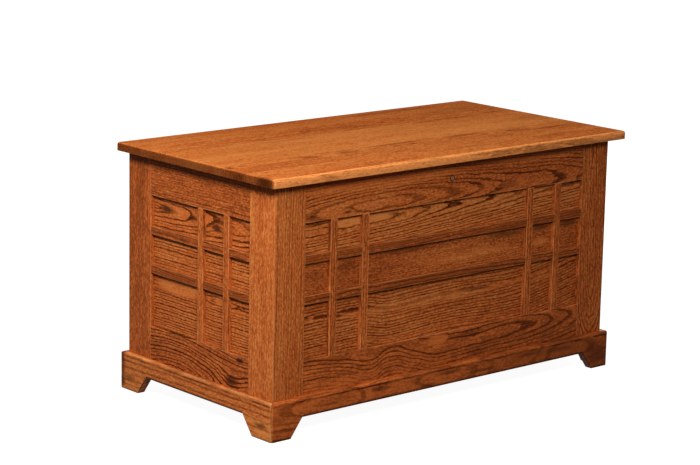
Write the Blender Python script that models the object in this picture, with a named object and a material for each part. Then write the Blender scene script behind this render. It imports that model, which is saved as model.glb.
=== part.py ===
"""A bench chest in stained oak, with its lid shut.

Metres, X to the right, Y to the back, Z up. The origin lies on the floor, under the middle of the chest.
Four frame-and-panel walls are mitred together at the corners and stand in a rabbeted base with feet.
Flat strips, half-lapped into one another, divide each panel of the front and the ends into cells.
The lid turns on two butt hinges, and a slotted stay at each end holds it open.
"""

import math

import bmesh
import bpy

# The body: the four walls, without the base and the lid.
BODY_WIDTH = 1.010
BODY_DEPTH = 0.516
BODY_BOTTOM = 0.072
BODY_TOP = 0.550
WALL_THICKNESS = 0.019
CORNER_ROUND = 0.0022

# The frame of each wall.
STILE_WIDTH = 0.083
TOP_RAIL_HEIGHT = 0.089
BOTTOM_RAIL_HEIGHT = 0.089
PANEL_RECESS = 0.0095
GROOVE_WIDTH = 0.00635
GROOVE_DEPTH = 0.010

# The strips across the panels. A cell is the free space between two strips, or a strip and the frame.
STRIP_WIDTH = 0.0185
CELL_WIDTH = 0.0715
CELL_HEIGHT = 0.070

# The floor of the chest, let into the walls.
FLOOR_THICKNESS = 0.012
FLOOR_HEIGHT = 0.090
FLOOR_LET_IN = 0.006

# The base around the foot of the body, cut out between its feet.
BASE_HEIGHT = 0.0856
BASE_THICKNESS = 0.019
BASE_OUTSET = 0.0133
BASE_EDGE_ROUND = 0.0062
BASE_CORNER_ROUND = 0.005
CUTOUT_HEIGHT = 0.043
LONG_FOOT_AT_FLOOR = 0.053
LONG_FOOT_AT_TOP = 0.085
SHORT_FOOT_AT_FLOOR = 0.066
SHORT_FOOT_AT_TOP = 0.098

# The lid and the two cleats across its underside, set in from the end walls.
LID_THICKNESS = 0.019
LID_SIDE_OVERHANG = 0.0285
LID_FRONT_OVERHANG = 0.029
LID_BACK_OVERHANG = 0.0088
LID_CORNER_RADIUS = 0.007
LID_UPPER_EDGE_ROUND = 0.0055
LID_LOWER_EDGE_ROUND = 0.001
LID_OPEN_ANGLE = math.radians(95)
CLEAT_WIDTH = 0.045
CLEAT_THICKNESS = 0.016
CLEAT_END_SLOPE = 0.018
CLEAT_EDGE_ROUND = 0.003
CLEAT_INSET = 0.1835
CLEAT_CLEARANCE = 0.022

# The butt hinges, let in flush at the top of the back and under the lid, set in from the stiles.
HINGE_INSET = 0.050
HINGE_LENGTH = 0.064
LEAF_WIDTH = 0.0195
LEAF_THICKNESS = 0.0018
KNUCKLE_COUNT = 5
HINGE_PIN_RADIUS = 0.0017
HINGE_PIN_TIP = 0.0005

# The slotted stays. Stud and lid pivot lie equally far from the hinge axis.
STAY_REACH = 0.180
STAY_PIVOT_DROP = math.radians(5)
STAY_STUD_DROP = math.radians(22)
STAY_ARM_WIDTH = 0.013
STAY_THICKNESS = 0.002
STAY_STUD_RADIUS = 0.003
STAY_PIVOT_RADIUS = 0.0025
STAY_SHOULDER_RADIUS = 0.005
STAY_SHOULDER_LENGTH = 0.0022
STAY_HEAD_RADIUS = 0.0055
STAY_HEAD_THICKNESS = 0.0016
STAY_PLATE_LENGTH = 0.034
BRACKET_FOOT_LENGTH = 0.034
BRACKET_FOOT_WIDTH = 0.014

# The lock in the middle of the front, and the strike under the lid.
LOCK_DROP = 0.039
LOCK_FACE_RADIUS = 0.008
LOCK_FACE_THICKNESS = 0.0014
LOCK_BARREL_RADIUS = 0.0062
LOCK_PLUG_RADIUS = 0.0042
KEYWAY_WIDTH = 0.0014
KEYWAY_HEIGHT = 0.0052
KEYWAY_DEPTH = 0.004
CAM_RADIUS = 0.0074
CAM_THICKNESS = 0.0017
CAM_PIN_RADIUS = 0.00125
CAM_PIN_LENGTH = 0.0064
BOLT_TRAVEL = 0.008
BOLT_LENGTH = 0.0235
BOLT_HEIGHT = 0.012
BOLT_NOSE_HEIGHT = 0.008
BOLT_NOSE_STEP = 0.0005
BOLT_THICKNESS = 0.0035
BOLT_SETBACK = 0.00475
BOLT_PIN_PLAY = 0.00035
CASE_WIDTH = 0.048
CASE_DEPTH = 0.0145
CASE_WALL = 0.0012
CASE_BELOW_PLUG = 0.016
CASE_TOP_DROP = 0.0025
CASE_SHELF_THICKNESS = 0.003
STRIKE_SETOFF = 0.010
STRIKE_THICKNESS = 0.003
STRIKE_RIM = 0.002
STRIKE_PLATE_LENGTH = 0.034
STRIKE_PLATE_THICKNESS = 0.0016
STRIKE_PLAY = 0.0005

# Clearances: between wood pieces that touch, around a turning pin, and around the floating panels.
FIT = 0.0003
RUNNING_FIT = 0.0001
PANEL_FLOAT = 0.0008
LID_GAP = 0.0004
MITRE_GAP = FIT / math.sqrt(2)
OVERCUT = 0.004
ROUND_SIDES = 24
ARC_STEPS = 4

# Places that follow from the sizes above.
FRONT_REACH = max(LID_FRONT_OVERHANG, BASE_OUTSET)
BACK_REACH = max(LID_BACK_OVERHANG, BASE_OUTSET)
FRONT_Y = (FRONT_REACH - BACK_REACH - BODY_DEPTH) / 2
BACK_Y = FRONT_Y + BODY_DEPTH
FRONT_INNER_Y = FRONT_Y + WALL_THICKNESS
BACK_INNER_Y = BACK_Y - WALL_THICKNESS
SIDE_INNER_X = BODY_WIDTH / 2 - WALL_THICKNESS
OPENING_BOTTOM = BODY_BOTTOM + BOTTOM_RAIL_HEIGHT
OPENING_TOP = BODY_TOP - TOP_RAIL_HEIGHT
GROOVE_BACK = PANEL_RECESS + GROOVE_WIDTH
KNUCKLE_RADIUS = HINGE_PIN_RADIUS + LEAF_THICKNESS
HINGE_Y = BACK_Y + FIT + KNUCKLE_RADIUS
HINGE_Z = BODY_TOP + LID_GAP / 2
LID_UNDERSIDE = LID_GAP / 2
LOCK_Z = BODY_TOP - LOCK_DROP

OAK = (0.46, 0.17, 0.048)
OAK_GOLDEN = (0.52, 0.21, 0.062)
OAK_DARK = (0.36, 0.125, 0.036)
OAK_PLAIN = (0.55, 0.34, 0.16)
BRASS = (0.62, 0.44, 0.18)
STEEL = (0.55, 0.54, 0.52)


def clear_scene():
    for old in list(bpy.data.objects):
        bpy.data.objects.remove(old, do_unlink=True)


def pivot(name, location, turn=0.0, tilt=0.0, parent=None):
    """An empty that carries pieces: turn is about Z and tilt about X."""
    empty = bpy.data.objects.new(name, None)
    bpy.context.scene.collection.objects.link(empty)
    empty.location = location
    empty.rotation_euler = (tilt, 0.0, turn)
    empty.parent = parent
    return empty


def finish(name, colour, roughness, metallic):
    material = bpy.data.materials.new(name)
    material.use_nodes = True
    shader = material.node_tree.nodes["Principled BSDF"]
    shader.inputs["Base Color"].default_value = (*colour, 1.0)
    shader.inputs["Roughness"].default_value = roughness
    shader.inputs["Metallic"].default_value = metallic
    return material


def as_object(name, shape, carrier):
    bmesh.ops.recalc_face_normals(shape, faces=shape.faces)
    mesh = bpy.data.meshes.new(name)
    shape.to_mesh(mesh)
    shape.free()
    made = bpy.data.objects.new(name, mesh)
    bpy.context.scene.collection.objects.link(made)
    made.parent = carrier
    return made


def piece(name, shape, carrier, colour, roughness=0.45, metallic=0.0, smooth=False):
    """A finished piece, its shape drawn in the frame of the empty that carries it."""
    made = as_object(name, shape, carrier)
    made.data.materials.append(finish(name + "_finish", colour, roughness, metallic))
    if smooth:
        made.data.shade_smooth()
        made.data.set_sharp_from_angle(angle=math.radians(35))
    return made


def wooden(name, shape, carrier, colour):
    return piece(name, shape, carrier, colour)


def metal(name, shape, carrier, colour):
    return piece(name, shape, carrier, colour, roughness=0.32, metallic=1.0, smooth=True)


def shape_with(target, operation, name, shape):
    """Cuts a shape from a piece, or adds it, with a hidden helper in the same frame."""
    helper = as_object(name, shape, target.parent)
    helper.hide_render = True
    helper.display_type = "WIRE"
    modifier = target.modifiers.new(name, "BOOLEAN")
    modifier.operation = operation
    modifier.solver = "EXACT"
    modifier.object = helper


def cut(target, name, shape):
    shape_with(target, "DIFFERENCE", target.name + "_cut_" + name, shape)


def add(target, name, shape):
    shape_with(target, "UNION", target.name + "_add_" + name, shape)


def loft(rings, closed=False, shape=None):
    """Skins a row of rings that have equally many points, and caps the ends unless the row is closed."""
    shape = shape or bmesh.new()
    rows = [[shape.verts.new(point) for point in ring] for ring in rings]
    count = len(rows[0])
    pairs = list(zip(rows, rows[1:]))
    if closed:
        pairs.append((rows[-1], rows[0]))
    for near, far in pairs:
        for i in range(count):
            j = (i + 1) % count
            shape.faces.new((near[i], near[j], far[j], far[i]))
    if not closed:
        shape.faces.new(rows[0])
        shape.faces.new(rows[-1])
    return shape


def prism(outline, start, end, axis, shape=None):
    """Draws an outline out along an axis. A start or end that is a function gives the place at each point."""

    def place(point, along):
        reach = along(point) if callable(along) else along
        a, b = point
        return {"x": (reach, a, b), "y": (a, reach, b), "z": (a, b, reach)}[axis]

    rings = [[place(point, along) for point in outline] for along in (start, end)]
    return loft(rings, shape=shape)


def box(low, high, shape=None):
    outline = [(low[0], low[1]), (high[0], low[1]), (high[0], high[1]), (low[0], high[1])]
    return prism(outline, low[2], high[2], "z", shape)


def arc(centre, radius, first, last, steps=ARC_STEPS):
    """Points of an arc, both ends included, with its angles in degrees."""
    points = []
    for i in range(steps + 1):
        angle = math.radians(first + (last - first) * i / steps)
        points.append((centre[0] + radius * math.cos(angle), centre[1] + radius * math.sin(angle)))
    return points


def stadium(start, end, radius):
    """A bar with round ends, centred on the line from start to end of the first axis."""
    half = ROUND_SIDES // 2
    return arc((end, 0), radius, -90, 90, half) + arc((start, 0), radius, 90, 270, half)


def rounded_rectangle(low, high, radius):
    corners = [
        ((high[0] - radius, low[1] + radius), -90),
        ((high[0] - radius, high[1] - radius), 0),
        ((low[0] + radius, high[1] - radius), 90),
        ((low[0] + radius, low[1] + radius), 180),
    ]
    outline = []
    for centre, angle in corners:
        outline += arc(centre, radius, angle, angle + 90)
    return outline


def turned(profile, axis, centre, closed=False, shape=None):
    """Turns a profile of (place along the axis, radius) about a line through centre, parallel to the axis."""
    rings = []
    for along, radius in profile:
        ring = []
        for i in range(ROUND_SIDES):
            angle = 2 * math.pi * i / ROUND_SIDES
            a = centre[0] + radius * math.cos(angle)
            b = centre[1] + radius * math.sin(angle)
            ring.append({"x": (along, a, b), "y": (a, along, b)}[axis])
        rings.append(ring)
    return loft(rings, closed=closed, shape=shape)


def hole_radius(shaft_radius):
    """The radius at which a faceted hole keeps its running fit round the shaft at the middle of each flat."""
    return (shaft_radius + RUNNING_FIT) / math.cos(math.pi / ROUND_SIDES)


def mirrored(outline, width):
    return [(width - along, depth) for along, depth in reversed(outline)]


# The walls. In a wall's frame X runs along the wall from its left end, seen from outside,
# Y goes inwards from the outer face, and Z is the height above the floor.


def stile_outline():
    """The section of a left stile: mitred at the corner, grooved for the panel and the rails."""
    inner_end = WALL_THICKNESS + MITRE_GAP
    rounding = arc((CORNER_ROUND, CORNER_ROUND), CORNER_ROUND, 225, 270, 2)
    rounding[0] = (rounding[0][0] + MITRE_GAP, rounding[0][1])
    return rounding + [
        (STILE_WIDTH, 0),
        (STILE_WIDTH, PANEL_RECESS),
        (STILE_WIDTH - GROOVE_DEPTH, PANEL_RECESS),
        (STILE_WIDTH - GROOVE_DEPTH, GROOVE_BACK),
        (STILE_WIDTH, GROOVE_BACK),
        (STILE_WIDTH, WALL_THICKNESS),
        (inner_end, WALL_THICKNESS),
    ]


def floor_groove(width):
    """The groove round the inside of the walls that holds the floor."""
    depth = WALL_THICKNESS - FLOOR_LET_IN - FIT
    low = (depth, depth, FLOOR_HEIGHT - FIT)
    high = (width - depth, WALL_THICKNESS + OVERCUT, FLOOR_HEIGHT + FLOOR_THICKNESS + FIT)
    return box(low, high)


def stiles(side, wall, width):
    for hand, outline in (("left", stile_outline()), ("right", mirrored(stile_outline(), width))):
        shape = prism(outline, BODY_BOTTOM, BODY_TOP, "z")
        stile = wooden(side + "_stile_" + hand, shape, wall, OAK_GOLDEN)
        cut(stile, "floor_groove", floor_groove(width))


def rail(name, wall, width, bottom, top, groove_bottom, groove_top):
    """A rail with a stub tenon at each end and the panel's groove along one edge."""
    shoulder = STILE_WIDTH + FIT
    tenon_end = STILE_WIDTH - GROOVE_DEPTH + FIT
    cheek_front = PANEL_RECESS + FIT
    cheek_back = GROOVE_BACK - FIT
    left_end = [
        (shoulder, WALL_THICKNESS),
        (shoulder, cheek_back),
        (tenon_end, cheek_back),
        (tenon_end, cheek_front),
        (shoulder, cheek_front),
        (shoulder, 0),
    ]
    made = wooden(name, prism(left_end + mirrored(left_end, width), bottom, top, "z"), wall, OAK)
    low = (tenon_end - OVERCUT, PANEL_RECESS, groove_bottom)
    high = (width - tenon_end + OVERCUT, GROOVE_BACK, groove_top)
    cut(made, "panel_groove", box(low, high))
    return made


def rails(side, wall, width):
    groove_floor = OPENING_TOP + GROOVE_DEPTH
    name = side + "_rail_"
    top = rail(name + "top", wall, width, OPENING_TOP, BODY_TOP, OPENING_TOP - OVERCUT, groove_floor)
    groove_floor = OPENING_BOTTOM - GROOVE_DEPTH
    bottom = rail(
        name + "bottom", wall, width, BODY_BOTTOM, OPENING_BOTTOM, groove_floor, OPENING_BOTTOM + OVERCUT
    )
    cut(bottom, "floor_groove", floor_groove(width))
    return top


def panel(side, wall, width):
    """A flat panel that floats in the grooves of the frame."""
    edge = GROOVE_DEPTH - PANEL_FLOAT
    low = (STILE_WIDTH - edge, PANEL_RECESS + FIT, OPENING_BOTTOM - edge)
    high = (width - STILE_WIDTH + edge, GROOVE_BACK - FIT, OPENING_TOP + edge)
    wooden(side + "_panel", box(low, high), wall, OAK)


def lapped_outline(low, high, crossings, whole_face, lapped_face, lap):
    """The edge view of a strip, cut down to the lap from one face wherever another strip crosses it."""
    outline = [(low, whole_face), (high, whole_face), (high, lapped_face)]
    for crossing in sorted(crossings, reverse=True):
        far = crossing + STRIP_WIDTH + FIT
        near = crossing - FIT
        outline += [(far, lapped_face), (far, lap), (near, lap), (near, lapped_face)]
    return outline + [(low, lapped_face)]


def lattice(side, wall, width, columns):
    """Upright strips over cross strips, flush with the frame and half-lapped where they meet."""
    rows = []
    for i in (1, 2):
        rows.append(OPENING_TOP - i * (CELL_HEIGHT + STRIP_WIDTH))
    middle = PANEL_RECESS / 2
    low, high = OPENING_BOTTOM + FIT, OPENING_TOP - FIT
    for number, left in enumerate(sorted(columns), 1):
        edge_view = lapped_outline(low, high, rows, 0, PANEL_RECESS, middle - FIT / 2)
        outline = [(depth, height) for height, depth in edge_view]
        shape = prism(outline, left, left + STRIP_WIDTH, "x")
        wooden(f"{side}_upright_strip_{number}", shape, wall, OAK_GOLDEN)
    low, high = STILE_WIDTH + FIT, width - STILE_WIDTH - FIT
    for level, bottom in zip(("upper", "lower"), rows):
        outline = lapped_outline(low, high, columns, PANEL_RECESS, 0, middle + FIT / 2)
        shape = prism(outline, bottom, bottom + STRIP_WIDTH, "z")
        wooden(f"{side}_cross_strip_{level}", shape, wall, OAK_DARK)


def base_board(side, wall, width, foot_at_floor, foot_at_top):
    """A mitred base board: rabbeted, rounded on top and at its corners, and cut out between its feet."""
    outer = -BASE_OUTSET
    inner = BASE_THICKNESS - BASE_OUTSET
    ledge = BODY_BOTTOM - FIT
    rounding = arc((outer + BASE_EDGE_ROUND, BASE_HEIGHT - BASE_EDGE_ROUND), BASE_EDGE_ROUND, 90, 180)
    section = [(inner, 0), (inner, ledge), (-FIT, ledge), (-FIT, BASE_HEIGHT)] + rounding + [(outer, 0)]
    shape = prism(section, lambda p: p[0] + MITRE_GAP, lambda p: width - p[0] - MITRE_GAP, "x")
    board = wooden(side + "_base_board", shape, wall, OAK)
    slope = (foot_at_top - foot_at_floor) / CUTOUT_HEIGHT
    left = [(outer + foot_at_floor - slope * OVERCUT, -OVERCUT), (outer + foot_at_top, CUTOUT_HEIGHT)]
    outline = left + [(width - along, height) for along, height in reversed(left)]
    cut(board, "between_feet", prism(outline, outer - OVERCUT, inner + OVERCUT, "y"))
    start, beyond = outer + BASE_CORNER_ROUND, outer - OVERCUT
    outline = arc((start, start), BASE_CORNER_ROUND, 180, 270)
    outline += [(start, beyond), (beyond, beyond), (beyond, start)]
    shape = prism(outline, -OVERCUT, BASE_HEIGHT + OVERCUT, "z")
    prism(mirrored(outline, width), -OVERCUT, BASE_HEIGHT + OVERCUT, "z", shape)
    cut(board, "corners", shape)


def columns_from_left():
    first = STILE_WIDTH + CELL_WIDTH
    return [first, first + STRIP_WIDTH + CELL_WIDTH]


def columns_from_right(width):
    return [width - left - STRIP_WIDTH for left in columns_from_left()]


def walls():
    """Builds the four walls with their base boards, and returns the front's and the back's top rails."""
    half = BODY_WIDTH / 2
    long_foot = (LONG_FOOT_AT_FLOOR, LONG_FOOT_AT_TOP)
    short_foot = (SHORT_FOOT_AT_FLOOR, SHORT_FOOT_AT_TOP)
    both_ends = columns_from_left() + columns_from_right(BODY_WIDTH)
    plan = [
        ("front", (-half, FRONT_Y, 0), 0, BODY_WIDTH, both_ends, long_foot),
        ("right", (half, FRONT_Y, 0), 90, BODY_DEPTH, columns_from_left(), short_foot),
        ("back", (half, BACK_Y, 0), 180, BODY_WIDTH, [], long_foot),
        ("left", (-half, BACK_Y, 0), 270, BODY_DEPTH, columns_from_right(BODY_DEPTH), short_foot),
    ]
    top_rails = {}
    for side, corner, turn, width, columns, foot in plan:
        wall = pivot(side + "_wall", corner, turn=math.radians(turn))
        stiles(side, wall, width)
        top_rails[side] = rails(side, wall, width)
        panel(side, wall, width)
        if columns:
            lattice(side, wall, width, columns)
        base_board(side, wall, width, *foot)
    return top_rails


def chest_floor(body):
    reach = FLOOR_LET_IN - FIT
    low = (-SIDE_INNER_X - reach, FRONT_INNER_Y - reach, FLOOR_HEIGHT)
    high = (SIDE_INNER_X + reach, BACK_INNER_Y + reach, FLOOR_HEIGHT + FLOOR_THICKNESS)
    wooden("floor_panel", box(low, high), body, OAK_PLAIN)


# The lid. Its frame has its origin on the hinge axis, in the middle of the chest.


def lid_panel(lid):
    """The lid board, rounded over along its upper edge and barely eased along its lower one."""
    half = BODY_WIDTH / 2 + LID_SIDE_OVERHANG
    front = FRONT_Y - LID_FRONT_OVERHANG - HINGE_Y
    back = BACK_Y + LID_BACK_OVERHANG - HINGE_Y
    top = LID_UNDERSIDE + LID_THICKNESS
    rings = []
    for underside, rounding in ((True, LID_LOWER_EDGE_ROUND), (False, LID_UPPER_EDGE_ROUND)):
        for i in range(ARC_STEPS + 1):
            angle = math.radians(90 * (i if underside else ARC_STEPS - i) / ARC_STEPS)
            inset = rounding * (1 - math.sin(angle))
            rise = rounding * (1 - math.cos(angle))
            height = LID_UNDERSIDE + rise if underside else top - rise
            low, high = (-half + inset, front + inset), (half - inset, back - inset)
            outline = rounded_rectangle(low, high, LID_CORNER_RADIUS - inset)
            rings.append([(x, y, height) for x, y in outline])
    board = wooden("lid_panel", loft(rings), lid, OAK_GOLDEN)
    board.data.shade_smooth()
    board.data.set_sharp_from_angle(angle=math.radians(35))
    return board


def lid_cleats(lid):
    """Cleats that keep the lid flat, with sloping ends and eased lower edges."""
    front = FRONT_INNER_Y + CLEAT_CLEARANCE - HINGE_Y
    back = BACK_INNER_Y - CLEAT_CLEARANCE - HINGE_Y
    top = LID_UNDERSIDE - FIT
    bottom = top - CLEAT_THICKNESS
    ends = [(front, top), (back, top), (back, bottom + CLEAT_THICKNESS / 2), (back - CLEAT_END_SLOPE, bottom)]
    ends += [(front + CLEAT_END_SLOPE, bottom), (front, bottom + CLEAT_THICKNESS / 2)]
    for hand, side in (("left", -1), ("right", 1)):
        middle = side * (SIDE_INNER_X - CLEAT_INSET - CLEAT_WIDTH / 2)
        shape = prism(ends, middle - CLEAT_WIDTH / 2, middle + CLEAT_WIDTH / 2, "x")
        cleat = wooden("lid_cleat_" + hand, shape, lid, OAK)
        shape = bmesh.new()
        for edge_side in (-1, 1):
            edge = middle + edge_side * CLEAT_WIDTH / 2
            inside = edge - edge_side * CLEAT_EDGE_ROUND
            outside = edge + edge_side * OVERCUT
            below = bottom - OVERCUT
            outline = [(inside, below), (inside, bottom), (edge, bottom + CLEAT_EDGE_ROUND)]
            outline += [(outside, bottom + CLEAT_EDGE_ROUND), (outside, below)]
            prism(outline, front - OVERCUT, back + OVERCUT, "y", shape)
        cut(cleat, "eased_edges", shape)


def hinge_leaf(name, carrier, middle, upper, first_knuckle):
    """A leaf rolled round the pin at every second knuckle. Its frame has the hinge axis as its X axis."""
    near = LID_GAP / 2
    far = near + LEAF_THICKNESS
    leaves, returns = [
        math.degrees(math.atan2(-level, -math.sqrt(KNUCKLE_RADIUS**2 - level**2))) for level in (near, far)
    ]
    outline = [(-LEAF_WIDTH, -far), (-LEAF_WIDTH, -near)]
    outline += arc((0, 0), KNUCKLE_RADIUS, leaves + 360, returns, ROUND_SIDES - 2)
    if upper:
        outline = [(y, -z) for y, z in outline]
    start, end = middle - HINGE_LENGTH / 2, middle + HINGE_LENGTH / 2
    leaf = metal(name, prism(outline, start, end, "x"), carrier, BRASS)
    knuckle = HINGE_LENGTH / KNUCKLE_COUNT
    reach = KNUCKLE_RADIUS + OVERCUT
    gaps = bmesh.new()
    for i in range(1 - first_knuckle, KNUCKLE_COUNT, 2):
        low = start + i * knuckle - (FIT / 2 if i else OVERCUT)
        high = start + (i + 1) * knuckle + (FIT / 2 if i < KNUCKLE_COUNT - 1 else OVERCUT)
        box((low, -KNUCKLE_RADIUS - FIT, -reach), (high, reach, reach), gaps)
    cut(leaf, "other_knuckles", gaps)
    radius = hole_radius(HINGE_PIN_RADIUS)
    cut(leaf, "bore", turned([(start - OVERCUT, radius), (end + OVERCUT, radius)], "x", (0, 0)))


def hinge_pin(name, carrier, middle):
    half = HINGE_LENGTH / 2
    tip = HINGE_PIN_RADIUS * 0.7
    profile = [(middle - half - HINGE_PIN_TIP, tip), (middle - half, HINGE_PIN_RADIUS)]
    profile += [(middle + half, HINGE_PIN_RADIUS), (middle + half + HINGE_PIN_TIP, tip)]
    metal(name, turned(profile, "x", (0, 0)), carrier, BRASS)


def hinges(fixed, lid, back_rail, board):
    """Two butt hinges, with the mortises that they are let into."""
    floor = LID_GAP / 2 + LEAF_THICKNESS + FIT
    edge = -LEAF_WIDTH - FIT
    behind = LID_BACK_OVERHANG + OVERCUT
    over_barrel = KNUCKLE_RADIUS + 2 * FIT
    in_rail = bmesh.new()
    in_lid = bmesh.new()
    for hand, side in (("left", -1), ("right", 1)):
        middle = side * (BODY_WIDTH / 2 - STILE_WIDTH - HINGE_INSET - HINGE_LENGTH / 2)
        hinge_leaf("hinge_leaf_body_" + hand, fixed, middle, False, 0)
        hinge_leaf("hinge_leaf_lid_" + hand, lid, middle, True, 1)
        hinge_pin("hinge_pin_" + hand, fixed, middle)
        start = middle - HINGE_LENGTH / 2 - FIT
        end = middle + HINGE_LENGTH / 2 + FIT
        # The rail is turned half round, so its own X runs the other way from its right end.
        near = BODY_WIDTH / 2 - end
        low = (near, -OVERCUT, BODY_TOP + LID_GAP / 2 - floor)
        depth = BACK_Y - HINGE_Y - edge
        box(low, (near + end - start, depth, BODY_TOP + OVERCUT), in_rail)
        start -= HINGE_PIN_TIP
        end += HINGE_PIN_TIP
        outline = [(edge, -OVERCUT), (edge, floor), (-over_barrel, floor), (-over_barrel, over_barrel)]
        outline += [(behind, over_barrel), (behind, -OVERCUT)]
        prism(outline, start, end, "x", in_lid)
    cut(back_rail, "hinge_mortises", in_rail)
    cut(board, "hinge_mortises", in_lid)


# The stays. Seen from the side, in metres from the hinge axis, a place is (towards the back, up).


def on_stay_circle(drop):
    return (-STAY_REACH * math.cos(drop), -STAY_REACH * math.sin(drop))


def stay_distance(opened):
    """How far the stud is from the arm's pivot when the lid has turned by this angle."""
    return 2 * STAY_REACH * math.sin((STAY_STUD_DROP - STAY_PIVOT_DROP + opened) / 2)


def stay(hand, side, body, lid):
    """A slotted arm that hangs from a bracket under the lid and slides on a stud in the end wall."""
    plate_x = SIDE_INNER_X - FIT
    stud_x = plate_x - STAY_THICKNESS
    arm_x = stud_x - STAY_SHOULDER_LENGTH - FIT
    ear_x = arm_x - STAY_THICKNESS - FIT
    stud_y, stud_z = on_stay_circle(STAY_STUD_DROP)
    pivot_y, pivot_z = on_stay_circle(STAY_PIVOT_DROP)

    def along_x(*places):
        return [(side * x, radius) for x, radius in places]

    # The plate on the end wall, with its stud, whose head keeps the arm on.
    plate_y, plate_z = HINGE_Y + stud_y, HINGE_Z + stud_z
    reach = (STAY_PLATE_LENGTH - STAY_ARM_WIDTH) / 2
    outline = stadium(-reach, reach, STAY_ARM_WIDTH / 2)
    outline = [(plate_y + across, plate_z + along) for along, across in outline]
    shape = prism(outline, side * stud_x, side * plate_x, "x")
    plate = metal("stay_plate_" + hand, shape, body, STEEL)
    head_x = ear_x
    profile = along_x(
        (stud_x + STAY_THICKNESS / 2, STAY_SHOULDER_RADIUS),
        (arm_x + FIT, STAY_SHOULDER_RADIUS),
        (arm_x + FIT, STAY_STUD_RADIUS),
        (head_x, STAY_STUD_RADIUS),
        (head_x, STAY_HEAD_RADIUS),
        (head_x - STAY_HEAD_THICKNESS * 0.6, STAY_HEAD_RADIUS),
        (head_x - STAY_HEAD_THICKNESS, STAY_HEAD_RADIUS * 0.7),
    )
    add(plate, "stud", turned(profile, "x", (plate_y, plate_z)))

    # The bracket under the lid: a foot, an ear, and a riveted pin through the arm.
    ear_width = STAY_ARM_WIDTH
    top = LID_UNDERSIDE - FIT
    outline = arc((pivot_y, pivot_z), ear_width / 2, 180, 360, ROUND_SIDES // 2)
    ear_top = top - STAY_THICKNESS / 2
    outline += [(pivot_y + ear_width / 2, ear_top), (pivot_y - ear_width / 2, ear_top)]
    shape = prism(outline, side * (ear_x - STAY_THICKNESS), side * ear_x, "x")
    bracket = metal("stay_bracket_" + hand, shape, lid, STEEL)
    foot_reach = BRACKET_FOOT_LENGTH / 2 - BRACKET_FOOT_WIDTH / 2
    outline = stadium(-foot_reach, foot_reach, BRACKET_FOOT_WIDTH / 2)
    middle_x = ear_x - STAY_THICKNESS / 2 - BRACKET_FOOT_WIDTH / 2
    outline = [(side * (middle_x + across), pivot_y + along) for along, across in outline]
    add(bracket, "foot", prism(outline, top - STAY_THICKNESS, top, "z"))
    profile = along_x(
        (ear_x - STAY_THICKNESS / 2, STAY_PIVOT_RADIUS),
        (arm_x + FIT, STAY_PIVOT_RADIUS),
        (arm_x + FIT, STAY_SHOULDER_RADIUS),
        (arm_x + FIT + STAY_HEAD_THICKNESS * 0.6, STAY_SHOULDER_RADIUS),
        (arm_x + FIT + STAY_HEAD_THICKNESS, STAY_SHOULDER_RADIUS * 0.7),
    )
    add(bracket, "rivet", turned(profile, "x", (pivot_y, pivot_z)))

    # The arm, drawn along the Y axis of its own frame, whose origin is its pivot.
    tilt = math.atan2(stud_z - pivot_z, stud_y - pivot_y)
    arm_frame = pivot("stay_pivot_" + hand, (0, pivot_y, pivot_z), tilt=tilt, parent=lid)
    nearest, farthest = stay_distance(0), stay_distance(LID_OPEN_ANGLE)
    slot_half_width = STAY_STUD_RADIUS + FIT
    outline = stadium(0, farthest + slot_half_width, STAY_ARM_WIDTH / 2)
    shape = prism(outline, side * (arm_x - STAY_THICKNESS), side * arm_x, "x")
    arm = metal("stay_arm_" + hand, shape, arm_frame, STEEL)
    low, high = side * (arm_x - STAY_THICKNESS) - OVERCUT, side * arm_x + OVERCUT
    if side < 0:
        low, high = side * arm_x - OVERCUT, side * (arm_x - STAY_THICKNESS) + OVERCUT
    holes = prism(stadium(nearest - FIT, farthest + FIT, slot_half_width), low, high, "x")
    radius = hole_radius(STAY_PIVOT_RADIUS)
    turned([(low, radius), (high, radius)], "x", (0, 0), shape=holes)
    cut(arm, "slot_and_pivot", holes)


# The lock. Its frame has its origin on the plug's axis, at the outer face of the front.


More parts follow.
